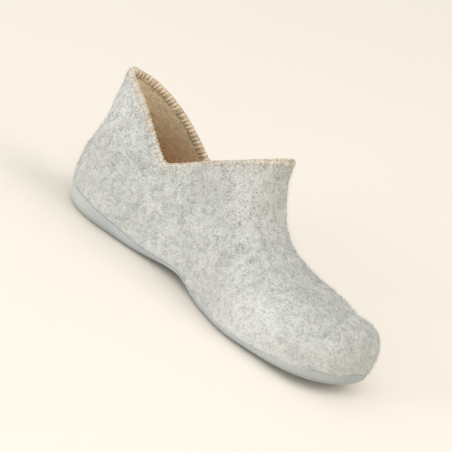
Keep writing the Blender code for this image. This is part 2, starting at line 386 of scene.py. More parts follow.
def vamp_distance(x, height):
    """Distance to the vamp line, rounded off where that line bends.

    It is the distance to a straight line that would give the same sum of 1 / distance**4.
    """
    ends_x = np.concatenate([[VAMP_X[0]], VAMP_X, [VAMP_X[-1]]])
    ends_z = np.concatenate([[VAMP_Z[0] + FRONT_HEIGHT], VAMP_Z, [VAMP_Z[-1] - TOE_HEIGHT]])
    total = 0.0
    for i in range(len(ends_x) - 1):
        step_x, step_z = ends_x[i + 1] - ends_x[i], ends_z[i + 1] - ends_z[i]
        size = np.hypot(step_x, step_z)
        along = ((x - ends_x[i]) * step_x + (height - ends_z[i]) * step_z) / size
        off = np.abs((x - ends_x[i]) * step_z - (height - ends_z[i]) * step_x) / size + LEAST
        total = total + pull(along, off) - pull(along - size, off)
    return (np.pi / 2 / total) ** (1 / 3)


def half_width(x, height):
    """Width from the centre line to the felt's outer face, on the side of each column."""
    foot = np.where(SIDE < 0, INNER_SIDE(x / LENGTH), OUTER_SIDE(x / LENGTH))
    ankle = between(height, ANKLE_FROM, FRONT_HEIGHT) ** ANKLE_EASE
    foot = foot + (ANKLE_WIDTH / 2 - foot) * ankle
    inside = (top(x) - height > TOUCHING) & (front(height) - x > TOUCHING)
    to_vamp = np.where(inside, vamp_distance(x, height), 0.0)
    toe = np.where(SIDE < 0, TOE_ROUND_INNER, TOE_ROUND_OUTER)
    shaft = eased(height, TOE_HEIGHT, SHAFT_TO)
    tab = eased(height, TAB_FROM, HEEL_HEIGHT)
    ahead_round = toe + (SHAFT_ROUND - toe) * shaft
    behind_round = HEEL_ROUND + (HEEL_TAB_ROUND - HEEL_ROUND) * tab
    closing = rounded(to_vamp / ahead_round, FRONT_POWER)
    return foot * closing * rounded((x - BACK(height)) / behind_round, BACK_POWER)


def side_place(height):
    """Where each column stands in side view at its height; the columns crowd towards the vamp."""
    start = BACK(height)
    size = front(height) - start
    return start + size * REACH + (size - HOOK_DEPTH) * HOOK


def felt_point(x, height):
    """Points of the felt's outer face at places in side view; near the collar's peak it leans forwards."""
    y = SIDE * half_width(x, height) + CENTRE(x / LENGTH)
    lean = between(height, FLARE_FROM, FRONT_HEIGHT) ** FLARE_POWER
    return np.stack([x + COLLAR_FLARE * lean * REACH**2, y, height], axis=-1)


def inset(x, y, amount):
    """A plan moved inwards, square to itself."""
    along_x, along_y = through(x, -1), through(y, -1)
    size = np.hypot(along_x, along_y)
    return x - amount * along_y / size, y + amount * along_x / size


def collar_height(x):
    """Side view of the collar: it falls from the heel tab to a rounded notch and rises to the front."""
    to_heel = (NOTCH_FROM_HEEL - x) / (NOTCH_FROM_HEEL - HEEL_CURVE)
    to_front = (x - NOTCH_FROM_HEEL) / (VAMP_X[0] - NOTCH_FROM_HEEL)
    edges = []
    for way, height, bow in ((to_heel, HEEL_HEIGHT, HEEL_EDGE_BOW), (to_front, FRONT_HEIGHT, FRONT_EDGE_BOW)):
        share = np.clip(way, 0, 1)
        edges.append(NOTCH_HEIGHT + (height - NOTCH_HEIGHT) * way + 4 * bow * share * (1 - share))
    heel_edge, front_edge = edges
    return (heel_edge + front_edge + np.hypot(heel_edge - front_edge, NOTCH_ROUND)) / 2


def sole_rim(x):
    """Height of the line where the felt meets the sole."""
    return TREAD(x / LENGTH) + SOLE_EDGE(x / LENGTH)


def evenly(ribs, rows, short):
    """Ribs cut into equal steps, up to a length short of their upper ends."""
    run = run_along(ribs)
    target = np.linspace(0, 1, rows)[:, None] * (run[-1] - short)
    after = [np.searchsorted(line, goal, side="right") for line, goal in zip(run.T, target.T)]
    below = np.clip(np.array(after).T - 1, 0, len(run) - 2)
    start = np.take_along_axis(run, below, axis=0)
    end = np.take_along_axis(run, below + 1, axis=0)
    share = ((target - start) / (end - start))[..., None]
    column = np.arange(ribs.shape[1])
    return ribs[below, column] * (1 - share) + ribs[below + 1, column] * share


def vamp_path(low, high, share):
    """Places of the vamp line in side view between two heights, and at each the way square into the foot."""
    x, height = VAMP_X[::-1], VAMP_Z[::-1]
    run = run_along(np.stack([x, height], axis=1))
    first, last = np.interp([low, high], height, run)
    found = []
    for offset in (0.0, -BEND_SPAN, BEND_SPAN):
        way = first + (last - first) * share + offset
        found.append(np.stack([np.interp(way, run, x), np.interp(way, run, height)], axis=1))
    place, before, after = found
    along = unit(after - before)
    return place, np.stack([-along[:, 1], along[:, 0]], axis=1)


def felt_ribs():
    """Ribs of the felt's outer face before it tucks in, from the sole's rim up to the collar's edge.

    In side view a rib is a straight line from rim to collar, and the one at the toe follows the vamp. Rows
    leave the vamp square to it, so that no cell folds where the toe is flat.
    """
    rim = np.full(FORM_COLUMNS, SOLE_WALL)
    collar = np.full(FORM_COLUMNS, NOTCH_HEIGHT)
    for _ in range(COLLAR_PASSES):
        rim = sole_rim(felt_point(side_place(rim), rim)[:, 0])
        wanted = np.clip(collar_height(felt_point(side_place(collar), collar)[:, 0]), rim, FRONT_HEIGHT)
        collar = collar + COLLAR_SHARE * (wanted - collar)
    share = np.linspace(0, 1, RIB_SAMPLES)
    low = np.stack([side_place(rim), rim], axis=1)
    high = np.stack([side_place(collar), collar], axis=1)
    places = low + (high - low) * share[:, None, None]
    toe = FORM_COLUMNS // 2
    vamp, inward = vamp_path(rim[toe], collar[toe], share)
    slope = (places[:, toe - 1] - places[:, toe]) / (1 - REACH[toe - 1])
    hooked = HOOK_DEPTH * inward - slope
    hooked *= (eased(share, 0, HOOK_ENDS) * eased(1 - share, 0, HOOK_ENDS))[:, None]
    near = 1 - eased(1 - REACH, 0, VAMP_SIDE)
    places = places + near[:, None] * (vamp - places[:, toe])[:, None] + HOOK[:, None] * hooked[:, None]
    x, height = places[..., 0], places[..., 1]
    heel = BACK(height) - BACK(rim[0]) * (1 - share)[:, None] - BACK(collar[0]) * share[:, None]
    return evenly(felt_point(x + (1 - REACH) * heel, height), FORM_ROWS, WALL / 2)


def spline(points, places, closed):
    """Cubic spline through points one step apart, read at places counted in steps.

    Its control points c are solved from (c before + 4 c + c after) / 6 = point.
    """
    count = len(points)
    blend = (4 * np.eye(count) + np.eye(count, k=1) + np.eye(count, k=-1)) / 6
    if closed:
        blend[0, -1] = blend[-1, 0] = 1 / 6
    else:
        blend[[0, -1]] = np.eye(count)[[0, -1]]
    control = np.linalg.solve(blend, points.reshape(count, -1)).reshape(points.shape)
    if closed:
        control = np.concatenate([control[-1:], control, control[:2]])
    else:
        before, after = 2 * control[:1] - control[1:2], 2 * control[-1:] - control[-2:-1]
        control = np.concatenate([before, control, after, after])
    i = places.astype(int)
    t = (places - i).reshape(-1, *[1] * (points.ndim - 1))
    weights = ((1 - t) ** 3, 3 * t**3 - 6 * t**2 + 4, -3 * t**3 + 3 * t**2 + 3 * t + 1, t**3)
    return sum(weight * control[i + offset] for offset, weight in enumerate(weights)) / 6


def felt_outside():
    """Rows of the felt's outer face on the fine grid, and the seat on the sole that it starts from.

    Near the sole the felt tucks in by tuck * (1 - height above the seat / tuck height)**2.
    """
    form = felt_ribs()
    rise = np.linspace(0, 1, FELT_ROWS) ** ROW_CROWDING
    rows = spline(form, rise * (FORM_ROWS - 1), False)
    rows = spline(rows.swapaxes(0, 1), np.arange(COLUMNS) * FORM_COLUMNS / COLUMNS, True).swapaxes(0, 1)
    above = rows[..., 2] - rows[0, :, 2]
    x, y = inset(rows[..., 0], rows[..., 1], TUCK * (1 - between(above, 0, TUCK_HEIGHT)) ** 2)
    rows = np.stack([x, y, rows[..., 2]], axis=2)
    rows = rows - vamp_dip(rows)[..., None] * outward(rows)
    return rows, rows[0]


def vamp_dip(rows):
    """How far the felt sinks in behind the toe, gently from the vamp, before it steps up onto the toe.

    Depth = dip depth * exp(-(way / reach)**2), with a longer reach behind its lowest line than ahead.
    """
    x, y, height = rows[..., 0], rows[..., 1], rows[..., 2]
    way = x - (DIP_PLACE + DIP_SLANT * np.abs(y))
    reach = np.where(way < 0, DIP_BEHIND, DIP_AHEAD)
    over_top = eased(height, DIP_FROM, DIP_TO)
    return DIP_DEPTH * np.exp(-((way / reach) ** 2)) * over_top


def lip(rows):
    """Shift of the felt's lower edge: it swells outwards over the rubber and hangs down a little way.

    Both fade as (1 - height)**2 up to the droop height; at the toe the edge hangs unevenly.
    """
    above = rows[..., 2] - rows[0, :, 2]
    fade = eased(above, 0, LIP_HEIGHT) * (1 - between(above, LIP_HEIGHT, DROOP_TO)) ** 2
    share = rows[0, :, 0] / LENGTH
    at_toe = eased(share, LIP_TOE_FROM, LIP_TOE_TO)
    droop = DROOP(share) + at_toe * uneven(rows[0], LIP_RIPPLES)
    reach = LIP_REACH * (1 + LIP_TOE_MORE * at_toe)
    out_x, out_y = inset(rows[0, :, 0], rows[0, :, 1], -reach)
    return fade[..., None] * (level_row(out_x, out_y, rows[0, :, 2] - droop) - rows[0])


def outward(rows):
    """Unit normals of a wall's outer face; level in its lowest row, where the sole meets it."""
    normal = np.cross(through(rows, 1), np.gradient(rows, axis=0))
    normal[0, :, 2] = 0
    return unit(normal)


def ripple(points, wavelength, seed, waves=48):
    """Even random relief of about -1 to 1: the sum of plane waves in random directions.

    Each wave has a length of 0.7 to 1.4 wavelengths and a random phase.
    """
    random = np.random.default_rng(seed)
    direction = unit(random.normal(size=(waves, 3)))
    number = 2 * np.pi / (wavelength * random.uniform(0.7, 1.4, (waves, 1)))
    phase = random.uniform(0, 2 * np.pi, waves)
    total = np.zeros(points.shape[:-1])
    for wave, shift in zip(direction * number, phase):
        total += np.cos(points @ wave + shift)
    return total / np.sqrt(waves)


def uneven(points, ripples):
    """Relief made of several ripples, each given by its height, wavelength and seed."""
    return sum(height * ripple(points, wavelength, seed) for height, wavelength, seed in ripples)


def crease_relief(rows):
    """Relief of the creases: each a trough exp(-(d / width)**2) between low ridges, d from its line."""
    relief = np.zeros(rows.shape[:-1])
    share = np.linspace(0, 1, CREASE_POINTS)
    for turn, rise, to_turn, to_rise, bow, width, depth in CREASES:
        up_wall = (rise + (to_rise - rise) * share) * (len(rows) - 1)
        line = on_grid(rows, up_wall, (turn + (to_turn - turn) * share) * COLUMNS / 2)
        bend = unit(np.cross(line[-1] - line[0], line[len(line) // 2] - rows.mean(axis=(0, 1))))
        line = line + bow / 1000 * LENGTH * np.sin(np.pi * share)[:, None] * bend
        way = np.full(relief.shape, OUT_OF_REACH)
        for start, end in zip(line[:-1], line[1:]):
            along = np.clip((rows - start) @ (end - start) / np.sum((end - start) ** 2), 0, 1)
            way = np.minimum(way, np.linalg.norm(rows - start - along[..., None] * (end - start), axis=2))
        off = way / (width / 1000 * LENGTH)
        trough = RIDGE_HEIGHT * np.exp(-((off / RIDGE_REACH) ** 2)) - np.exp(-(off**2))
        relief += depth / 1000 * LENGTH * trough
    return relief


def level_row(x, y, height):
    """One row of points from a plan and its heights."""
    return np.stack([x, y, height], axis=1)


def towards_middle(row, shares):
    """Rows from one ring towards the line half way between its two sides."""
    middle = (row + row[(COLUMNS - np.arange(COLUMNS)) % COLUMNS]) / 2
    return [row + (middle - row) * share for share in shares]


def ring_quads(rows, columns, closed):
    """Quads of a grid whose columns go round in a ring; closed joins the last row to the first."""
    row = np.arange(rows if closed else rows - 1)[:, None] * columns
    above = (row + columns) % (rows * columns)
    column = np.arange(columns)
    following = (column + 1) % columns
    quads = np.stack([row + column, row + following, above + following, above + column], axis=2)
    return quads.reshape(-1, 4)


def wall_faces(rows, closed):
    """Faces of a wall of so many rows."""
    return ring_quads(rows, COLUMNS, closed).tolist()


def cap_faces(first, upward):
    """A cap over one row, laid across from the inner side to the outer side."""
    faces = []
    for i in range(COLUMNS // 2):
        ring = [i, i + 1, COLUMNS - i - 1, (COLUMNS - i) % COLUMNS]
        corners = [first + corner for corner in dict.fromkeys(ring)]
        faces.append(corners if upward else corners[::-1])
    return faces


def make_piece(name, points, faces, material, replaced=None):
    """A finished piece of the slipper, riding on its one body."""
    mesh = bpy.data.meshes.new(name)
    mesh.from_pydata((points + PLACE).reshape(-1, 3).tolist(), [], faces)
    mesh.validate()
    mesh.shade_smooth()
    mesh.materials.append(material)
    piece = bpy.data.objects.new(name, mesh)
    bpy.context.scene.collection.objects.link(piece)
    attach(piece, "root")
    if replaced:
        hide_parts(replaced)
    return piece


# Materials


class Finish:
    """A Principled material that is put together from textures on the piece's own coordinates."""

    def __init__(self, name, **values):
        self.material = bpy.data.materials.new(name)
        self.material.use_nodes = True
        self.nodes = self.material.node_tree.nodes
        self.links = self.material.node_tree.links
        self.shader = self.nodes["Principled BSDF"]
        for socket, value in values.items():
            self.shader.inputs[socket.replace("_", " ")].default_value = value
        self.place = self.nodes.new("ShaderNodeTexCoord").outputs["Object"]

    def put(self, source, socket):
        """Joins a socket to another, or gives it a value."""
        if isinstance(source, bpy.types.NodeSocket):
            self.links.new(source, socket)
        else:
            socket.default_value = (*source, 1.0) if socket.type == "RGBA" else source

    def node(self, kind, output, sources, **settings):
        """An output of a new node with its settings made and its sockets filled."""
        node = self.nodes.new("ShaderNode" + kind)
        for name, value in settings.items():
            setattr(node, name, value)
        for socket, source in sources.items():
            self.put(source, node.inputs[socket])
        return node.outputs[output]

    def height(self):
        """Height above the floor."""
        return self.node("SeparateXYZ", "Z", {"Vector": self.place})

    def tone(self):
        """The tone that each point of the piece carries."""
        return self.node("Attribute", "Fac", {}, attribute_name="tone")

    def near(self, place, radius, share):
        """A soft spot round a place: share at its middle, 0 from its radius on."""
        away = self.node("VectorMath", "Value", {0: self.place, 1: place}, operation="DISTANCE")
        return self.ramp(away, 0.0, radius, share, 0.0)

    def turned(self, angles, stretch):
        """Coordinates turned by angles in degrees and stretched."""
        sources = {"Vector": self.place, "Rotation": np.radians(angles), "Scale": stretch}
        return self.node("Mapping", "Vector", sources)

    def noise(self, size, detail=2.0, roughness=0.5, distortion=0.0, place=None):
        """Soft random pattern with spots of about one size, in metres."""
        sources = {"Vector": place or self.place, "Scale": 1 / size, "Detail": detail}
        return self.node("TexNoise", "Fac", {**sources, "Roughness": roughness, "Distortion": distortion})

    def ramp(self, value, low, high, to_low=0.0, to_high=1.0):
        """A value taken from one range to another, eased at both ends."""
        sources = {0: value, 1: low, 2: high, 3: to_low, 4: to_high}
        return self.node("MapRange", "Result", sources, interpolation_type="SMOOTHSTEP")

    def math(self, operation, one, other):
        """Two values put together."""
        return self.node("Math", "Value", {0: one, 1: other}, operation=operation)

    def mix(self, share, one, other):
        """A colour on the way from one to other; sockets 6 and 7 and output 2 of the node are colours."""
        return self.node("Mix", 2, {0: share, 6: one, 7: other}, data_type="RGBA")

    def bump(self, height, distance, strength, under=None):
        """Relief of the surface, deep as distance for a height of 1."""
        sources = {"Strength": strength, "Distance": distance, "Height": height}
        if under:
            sources["Normal"] = under
        return self.node("Bump", "Normal", sources)

    def wear(self, colour=None, roughness=None, normal=None):
        """Gives the shader its colour, roughness and relief."""
        for source, name in ((colour, "Base Color"), (roughness, "Roughness"), (normal, "Normal")):
            if source is not None:
                self.put(source, self.shader.inputs[name])
        return self.material


LIGHT_WOOL = (0.655, 0.670, 0.645)
MID_WOOL = (0.425, 0.437, 0.415)
DARK_WOOL = (0.150, 0.156, 0.150)
SPECK_WOOL = (0.215, 0.223, 0.213)
WARM_WOOL = (0.500, 0.485, 0.440)
PALE_HAIR = (0.720, 0.730, 0.705)
SHADED_WOOL = (0.350, 0.360, 0.345)
# The next two colours are painted shade, darker and warm, over the toe and painted light at the front of the
# collar
TOE_PAINTED_SHADE_WOOL = (0.470, 0.455, 0.415)
FRONT_PAINTED_LIGHT_WOOL = (0.620, 0.605, 0.555)
FLEECE_LIGHT = (1.000, 0.730, 0.410)
FLEECE_DARK = (0.600, 0.325, 0.125)
# Pale fleece: the painted light near the collar, and the pale colour of loose fleece fibres
FLEECE_PALE_AND_PAINTED_LIGHT = (1.000, 0.880, 0.625)
YARN_CREAM = (0.800, 0.690, 0.520)
YARN_TAUPE = (0.420, 0.320, 0.210)
YARN_GREY = (0.560, 0.555, 0.510)
YARN_FLECK = (0.190, 0.150, 0.105)
YARN_TAN_PAINTED_SHADE = (0.540, 0.395, 0.240)
YARN_HAIR = (0.860, 0.780, 0.630)
EDGE_HAIR = (0.780, 0.740, 0.660)
RUBBER_GREY = (0.360, 0.384, 0.382)
RUBBER_PALE = (0.403, 0.432, 0.431)
RUBBER_PAINTED_SHADE = (0.360, 0.375, 0.370)
RUBBER_PAINTED_LIGHT = (0.530, 0.550, 0.535)
TEXTILE_LIGHT = (0.620, 0.490, 0.340)
TEXTILE_DARK = (0.470, 0.350, 0.220)
FLOOR_CREAM = (0.935, 0.880, 0.800)
FLOOR_PALE = (0.950, 0.900, 0.825)

# Painted light and shade on the felt: paler spots for light on the heel tab, the lower inner side and the
# front of the collar, darker spots for shade under the collar and over the toe; the middle of a spot, its
# radius, its strength and its colour
PAINTED_LIGHT_AND_SHADE_SPOTS = (
    ((-0.112, -0.018, 0.080), 0.045, 0.75, PALE_HAIR),
    ((0.060, -0.043, 0.015), 0.050, 0.55, PALE_HAIR),
    ((-0.020, -0.020, 0.066), 0.035, 0.40, SHADED_WOOL),
    ((0.118, -0.010, 0.032), 0.060, 0.40, TOE_PAINTED_SHADE_WOOL),
    ((0.014, -0.008, 0.085), 0.050, 0.50, FRONT_PAINTED_LIGHT_WOOL),
)

# Painted light on the rubber at the heel: middle of the spot, radius and strength
HEEL_PAINTED_LIGHT = ((-0.124, -0.022, 0.014), 0.060, 0.9)


def fibre_streaks(finish, size, stretch, turns):
    """Brightest of several patterns of fine streaks, each laid in its own direction."""
    streaks = None
    for angles in turns:
        place = finish.turned(angles, (stretch, 1.0, 1.0))
        fine = finish.noise(size, 2.0, 0.55, 0.7, place)
        streaks = fine if streaks is None else finish.math("MAXIMUM", streaks, fine)
    return streaks


def felt_material():
    """Heathered wool felt: clouds, patches, dark specks, and dark and pale hairs in all directions, with
    painted light and shade in soft spots.
    """
    felt = Finish("felt", Roughness=0.95, Sheen_Weight=0.25, Sheen_Roughness=0.6)
    clouds = felt.noise(0.024, 2.0, 0.5, 0.8)
    patches = felt.noise(0.0080, 3.0, 0.6, 1.0)
    specks = felt.noise(0.0015, 3.0, 0.65, 0.5)
    grain = felt.noise(0.00095, 2.0, 0.6)
    dark_hairs = fibre_streaks(felt, 0.00085, 0.30, ((0, 0, 20), (40, 80, 0), (10, 50, 100)))
    pale_hairs = fibre_streaks(felt, 0.00095, 0.25, ((0, 10, -35), (70, 95, 0), (30, -40, 60)))
    tone = felt.ramp(clouds, 0.32, 0.68, 0.0, 0.26)
    tone = felt.math("ADD", tone, felt.ramp(patches, 0.34, 0.64, 0.0, 0.46))
    tone = felt.math("ADD", tone, felt.ramp(specks, 0.34, 0.66, 0.0, 0.34))
    colour = felt.mix(tone, MID_WOOL, LIGHT_WOOL)
    warm = felt.ramp(felt.noise(0.034, 1.0), 0.50, 0.70, 0.0, 0.30)
    colour = felt.mix(warm, colour, WARM_WOOL)
    # Painted light and shade: paler and darker soft spots where light and shade fall on the felt
    for place, radius, share, wool in PAINTED_LIGHT_AND_SHADE_SPOTS:
        colour = felt.mix(felt.near(place, radius, share), colour, wool)
    thin = felt.ramp(patches, 0.36, 0.62, 0.85, 0.30)
    dots = felt.math("MULTIPLY", thin, felt.ramp(grain, 0.45, 0.64))
    dots = felt.math("MULTIPLY", dots, felt.ramp(felt.height(), 0.015, 0.060, 0.55, 1.10))
    colour = felt.mix(dots, colour, SPECK_WOOL)
    colour = felt.mix(felt.ramp(dark_hairs, 0.62, 0.76, 0.0, 0.50), colour, DARK_WOOL)
    colour = felt.mix(felt.ramp(pale_hairs, 0.62, 0.78, 0.0, 0.60), colour, PALE_HAIR)
    relief = felt.bump(specks, 0.0010, 0.5)
    relief = felt.bump(felt.math("ADD", dark_hairs, pale_hairs), 0.0006, 0.6, relief)
    return felt.wear(colour, None, relief)


def fleece_material():
    """Brushed fleece: small tufts, lighter at their tips, with painted light growing towards the collar and
    painted shade deeper inside.
    """
    fleece = Finish("fleece", Roughness=0.96, Sheen_Weight=0.45, Sheen_Roughness=0.5)
    tufts = fleece.noise(0.0026, 4.0, 0.62, 1.6)
    pile = fibre_streaks(fleece, 0.0010, 0.2, ((0, 70, 0), (30, 95, 40)))
    tone = fleece.ramp(fleece.math("ADD", tufts, fleece.ramp(pile, 0.5, 0.8, 0.0, 0.2)), 0.35, 0.80)
    colour = fleece.mix(tone, FLEECE_DARK, FLEECE_LIGHT)
    # Painted light: the lining turns paler with height towards the opening; lower down it stays darker as
    # painted shade
    colour = fleece.mix(fleece.ramp(fleece.height(), 0.038, 0.085, 0.0, 0.9), colour, FLEECE_PALE_AND_PAINTED_LIGHT)
    specks = fleece.noise(0.0013, 2.0, 0.6, 0.8)
    colour = fleece.mix(fleece.ramp(specks, 0.50, 0.68, 0.0, 0.30), colour, FLEECE_DARK)
    relief = fleece.bump(tufts, 0.0018, 0.7)
    relief = fleece.bump(pile, 0.0010, 0.6, relief)
    return fleece.wear(colour, None, relief)


def yarn_material():
    """Wool yarn that changes between cream and taupe, hairy, felted to a pale grey on the outside, and a
    darker tan inside as painted shade in the gaps between the bars.
    """
    yarn = Finish("yarn", Roughness=0.9, Sheen_Weight=0.3, Sheen_Roughness=0.5)
    shade = yarn.noise(0.0050, 2.0, 0.6)
    hairs = yarn.noise(0.0005, 2.0, 0.6, 0.8)
    tone = yarn.tone()
    colour = yarn.mix(yarn.ramp(shade, 0.44, 0.68), YARN_CREAM, YARN_TAUPE)
    colour = yarn.mix(yarn.ramp(hairs, 0.40, 0.75, 0.0, 0.5), colour, YARN_HAIR)
    felted = yarn.mix(yarn.ramp(shade, 0.50, 0.62, 0.0, 0.7), YARN_GREY, YARN_TAUPE)
    flecks = yarn.noise(0.0011, 2.0, 0.6, 0.8)
    felted = yarn.mix(yarn.ramp(flecks, 0.50, 0.64, 0.0, 0.75), felted, YARN_FLECK)
    colour = yarn.mix(yarn.ramp(tone, 0.0, 1.0), colour, felted)
    # Painted shade: where the tone is below 0, in the stitches and the bed inside the collar, the yarn turns
    # a darker tan
    colour = yarn.mix(yarn.ramp(tone, -1.0, 0.0, 1.0, 0.0), colour, YARN_TAN_PAINTED_SHADE)
    return yarn.wear(colour, None, yarn.bump(hairs, 0.0004, 0.7))


def rubber_material():
    """Matt moulded rubber with a fine grain, with painted shade in patches towards the tread and a spot of
    painted light at the heel.
    """
    rubber = Finish("rubber", Specular_IOR_Level=0.4)
    clouds = rubber.noise(0.030, 3.0, 0.5)
    grain = rubber.noise(0.0007, 2.0, 0.6)
    shade_patches = rubber.noise(0.0040, 4.0, 0.7, 1.0)
    # Painted shade: darker patches in the lowest few millimetres towards the tread
    low = rubber.ramp(rubber.height(), 0.0, 0.0055, 1.0, 0.0)
    painted_shade_low = rubber.math("MULTIPLY", low, rubber.ramp(shade_patches, 0.45, 0.70, 0.0, 0.6))
    colour = rubber.mix(rubber.ramp(clouds, 0.35, 0.65), RUBBER_GREY, RUBBER_PALE)
    colour = rubber.mix(painted_shade_low, colour, RUBBER_PAINTED_SHADE)
    # Painted light: a paler spot on the rubber at the heel
    colour = rubber.mix(rubber.near(*HEEL_PAINTED_LIGHT), colour, RUBBER_PAINTED_LIGHT)
    roughness = rubber.ramp(clouds, 0.30, 0.70, 0.48, 0.60)
    return rubber.wear(colour, roughness, rubber.bump(grain, 0.00012, 0.5))


def textile_material():
    """Short-pile textile of the insole."""
    textile = Finish("textile", Roughness=0.95, Sheen_Weight=0.3)
    pile = textile.noise(0.0012, 3.0, 0.6, 0.8)
    clouds = textile.noise(0.014, 2.0)
    tone = textile.ramp(pile, 0.3, 0.7, 0.0, 0.6)
    tone = textile.math("ADD", tone, textile.ramp(clouds, 0.35, 0.65, 0.0, 0.4))
    colour = textile.mix(tone, TEXTILE_DARK, TEXTILE_LIGHT)
    return textile.wear(colour, None, textile.bump(pile, 0.0010, 0.6))


# Shapes of the pieces

OUTSIDE, SEAT = felt_outside()
NORMAL = outward(OUTSIDE)
MIDDLE = (OUTSIDE.min(axis=(0, 1)) + OUTSIDE.max(axis=(0, 1))) / 2
PLACE = (np.array(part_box("upper")).sum(axis=0) / 2 - MIDDLE) * (1, 1, 0)
ARC_ANGLES = np.pi * np.arange(1, COLLAR_ARC) / COLLAR_ARC


def collar_arc(outer, normal, thickness):
    """Rows over a wall's rounded upper edge: half a circle from its outer face to its inner face."""
    upward = unit(outer[-1] - outer[-2])
    middle = outer[-1] - thickness / 2 * normal[-1]
    return [middle + thickness / 2 * (np.cos(a) * normal[-1] + np.sin(a) * upward) for a in ARC_ANGLES]


def felt_layer():
    """The felt: its outer face with creases and uneven relief, its rounded edge and its inner face.

    The relief moves each point along the normal by ripples and creases, and fades at the collar and the foot.
    """
    rise = np.linspace(0, 1, FELT_ROWS)[:, None]
    calm = 1 - eased(rise, CALM_FROM, CALM_TO)
    relief = (uneven(OUTSIDE, FELT_LUMPS) + crease_relief(OUTSIDE)) * calm + uneven(OUTSIDE, FELT_GRAIN)
    relief = relief * eased(rise, 0.0, CALM_FOOT)
    face = OUTSIDE + relief[..., None] * NORMAL + lip(OUTSIDE)
    skin = OUTSIDE - FELT * NORMAL
    inner = np.concatenate([skin[-1:], skin[:: FELT_ROWS // BACK_ROWS][::-1]])
    return face, np.concatenate([face, collar_arc(face, NORMAL, WALL), inner])


def fleece_layer():
    """The lining: its tufted inner face, its rounded edge just under the felt's, and its back on the felt.

    Its face lies WALL inside the felt's outer face, with ripples, and swells above the insole.
    """
    wanted = np.linspace(0, 1, FLEECE_ROWS)
    pick = wanted * (FELT_ROWS - 1) * (1 - FLEECE_SHORT)
    low = np.minimum(pick.astype(int), FELT_ROWS - 2)
    share = (pick - low)[:, None, None]
    outside = OUTSIDE[low] * (1 - share) + OUTSIDE[low + 1] * share
    normal = unit(NORMAL[low] * (1 - share) + NORMAL[low + 1] * share)
    above = outside[..., 2] - SEAT[:, 2]
    swell = FLEECE_FOOT * (1 - between(above, 0, FLEECE_FOOT_HEIGHT)) ** 2
    depth = WALL + swell + uneven(outside, FLEECE_TUFTS) * eased(wanted, 0.0, FLEECE_CALM)[:, None]
    face = outside - depth[..., None] * normal
    hidden = outside - (FELT + GAP / 3) * normal
    behind = np.concatenate([hidden[:: FLEECE_ROWS // BACK_ROWS], hidden[-1:]])
    return face, np.concatenate([behind, collar_arc(hidden, normal, WALL - FELT), face[::-1]])


def rounded_edge(plan, start, radius, high, degrees):
    """Rows round an edge: start + radius * (1 - cos) inside a plan and radius * (1 - sin) under its top."""
    rows = []
    for angle in np.radians(degrees):
        x, y = inset(*plan, start + radius * (1 - np.cos(angle)))
        rows.append(level_row(x, y, high - radius * (1 - np.sin(angle))))
    return rows


def sole_layer():
    """The rubber sole: its cup, its rounded rim, its side and its tread with shallow waved grooves."""
    x, y, seam = SEAT.T
    rim = seam - GAP
    cup = level_row(*inset(x, y, CUP_INSET + CUP_DRAFT), rim - CUP_DEPTH)
    rows = towards_middle(cup, np.linspace(NEAR_MIDDLE, 0.1, CUP_ROWS)) + [cup]
    rows.append(level_row(*inset(x, y, CUP_INSET), rim))
    outer = inset(x, y, -FLANGE)
    tread = TREAD(outer[0] / LENGTH)
    rows += rounded_edge(outer, 0.0, FLANGE_ROUND, rim, (90, 60, 30))
    for drop in SIDE_DROPS:
        side_x, side_y = inset(*outer, SOLE_SIDE(drop) * TREAD_ROUND)
        rows.append(level_row(side_x, side_y, rim + (tread - rim) * drop))
    under = np.array(towards_middle(rows[-1], np.linspace(0, NEAR_MIDDLE, TREAD_ROWS)[1:]))
    from_edge = np.linalg.norm(under - rows[-1], axis=2)
    sway = TREAD_SWAY * np.sin(under[..., 1] * 2 * np.pi / TREAD_SWAY_PITCH)
    wave = np.sin(2 * np.pi * (under[..., 0] + sway) / TREAD_PITCH)
    within = eased(from_edge, 0.6 * TREAD_MARGIN, TREAD_MARGIN)
    under[..., 2] += TREAD_GROOVE * eased(wave, 0.1, 0.9) * within
    return np.concatenate([np.array(rows), under])


def insole_layer():
    """The insole: a thin pad in the cup, rounded at its top edge."""
    x, y, seam = SEAT.T
    low = seam - CUP_DEPTH
    high = low + INSOLE_THICKNESS
    reach = CUP_INSET + CUP_DRAFT + GAP
    edge = level_row(*inset(x, y, reach), low)
    rows = towards_middle(edge, np.linspace(NEAR_MIDDLE, 0.2, INSOLE_BACK_ROWS)) + [edge]
    rows += rounded_edge((x, y), reach, INSOLE_ROUND, high, (0, 30, 60, 90))
    face = np.array(towards_middle(rows[-1], np.linspace(0, NEAR_MIDDLE, INSOLE_ROWS)[1:]))
    face[..., 2] += uneven(face, INSOLE_PILE)
    return np.concatenate([np.array(rows), face])


def capped_faces(rows, outwards):
    """Faces of a solid that is closed by a cap on its first and on its last row."""
    side = wall_faces(len(rows), False)
    first, last = 0, (len(rows) - 1) * COLUMNS
    if outwards:
        return side + cap_faces(first, False) + cap_faces(last, True)
    return [quad[::-1] for quad in side] + cap_faces(first, True) + cap_faces(last, False)


# Whipped edge of the collar

STITCH_PITCH = 0.0030
STITCH_DEPTH = 0.0026
STITCH_OUTSIDE = 0.0019
STITCH_SLANT = 0.0024
YARN_RADIUS = 0.00072
THREAD_RADIUS = 0.00030
BED_LIFT = 0.00022
BED_SINK = 0.00040
BAND_STEP = 0.0004
BAND_STEPS = 14
BED_ROWS = 18
BAR_STEPS = 22
FOOT_STEPS = 9
CHAIN_STEPS = 8
CHAIN_SWING = 0.00034
CHAIN_TONE = 0.7
YARN_SIDES = 8
THREAD_SIDES = 6
PLIES = 2
PLY_WAIST = 0.16
PLY_TWIST = 900.0
HALF_ARC = np.pi * WALL / 4


